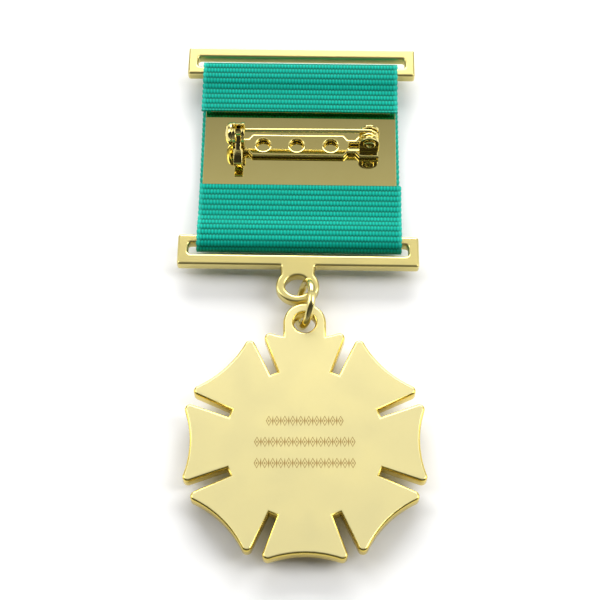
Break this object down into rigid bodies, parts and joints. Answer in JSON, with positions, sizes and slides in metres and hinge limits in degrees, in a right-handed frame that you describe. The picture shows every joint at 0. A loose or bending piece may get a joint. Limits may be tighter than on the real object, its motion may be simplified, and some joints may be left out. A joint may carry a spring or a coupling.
{
  "type": "service medal",
  "caption": "Eight-armed gilt star medal on a jump ring, hung from a slotted bar and a ribbon suspension with a hinged pin and a safety catch on its back.",
  "frame": {"origin": "centre of the bounding box, on the surface that the medal lies on", "axes": "+X across the ribbon, +Y from the star towards the top bar, +Z out of the back"},
  "size_m": [0.0416, 0.0962, 0.0085],
  "materials": {
    "gilt": "polished gold plate",
    "polished_gilt": "mirror gold plate",
    "frosted_gilt": "sandblasted gold plate",
    "grosgrain": "ribbed ribbon",
    "enamel": "hard enamel",
    "tape": "foam tape",
    "solder": "dull"
  },
  "bodies": {
    "suspension": {"backing_plate": "polished_gilt", "ribbon": "grosgrain", "tape_pad_top": "tape", "tape_pad_lower": "tape", "solder_film": "solder", "pin_strip": "gilt", "hinge_lug": "gilt", "hinge_rivet": "gilt", "catch_bracket": "gilt", "catch_cap": "gilt"},
    "upper_bar": {"top_bar": "gilt"},
    "hanger_bar": {"lower_bar": "gilt"},
    "pin": {"pin_wire": "gilt"},
    "lock": {"safety_lock": "gilt"},
    "ring": {"jump_ring": "gilt"},
    "medal": {"medal_body": "frosted_gilt", "front_roundel": "gilt", "enamel_disc": "enamel"}
  },
  "joints": [
    {"name": "top_bar_rock", "type": "hinge", "parent": "suspension", "child": "upper_bar", "pos_m": [-0.00025, 0.04312, 0.00332], "axis": [1, 0, 0], "range_deg": [-10, 10]},
    {"name": "lower_bar_swing", "type": "hinge", "parent": "suspension", "child": "hanger_bar", "pos_m": [-0.00025, 0.00827, 0.00332], "axis": [1, 0, 0], "range_deg": [-10, 10]},
    {"name": "ring_swing", "type": "hinge", "parent": "hanger_bar", "child": "ring", "pos_m": [0.00075, -0.0004, 0.00332], "axis": [1, 0, 0], "range_deg": [-12, 25]},
    {"name": "medal_swing", "type": "hinge", "parent": "ring", "child": "medal", "pos_m": [0.00075, -0.00705, 0.00272], "axis": [1, 0, 0], "range_deg": [-10, 25]},
    {"name": "pin_open", "type": "hinge", "parent": "suspension", "child": "pin", "pos_m": [0.01185, 0.0282, 0.00637], "axis": [0, 1, 0], "range_deg": [0, 80]},
    {"name": "lock_turn", "type": "hinge", "parent": "suspension", "child": "lock", "pos_m": [-0.01101, 0.0282, 0.00742], "axis": [-1, 0, 0], "range_deg": [0, 90]}
  ]
}
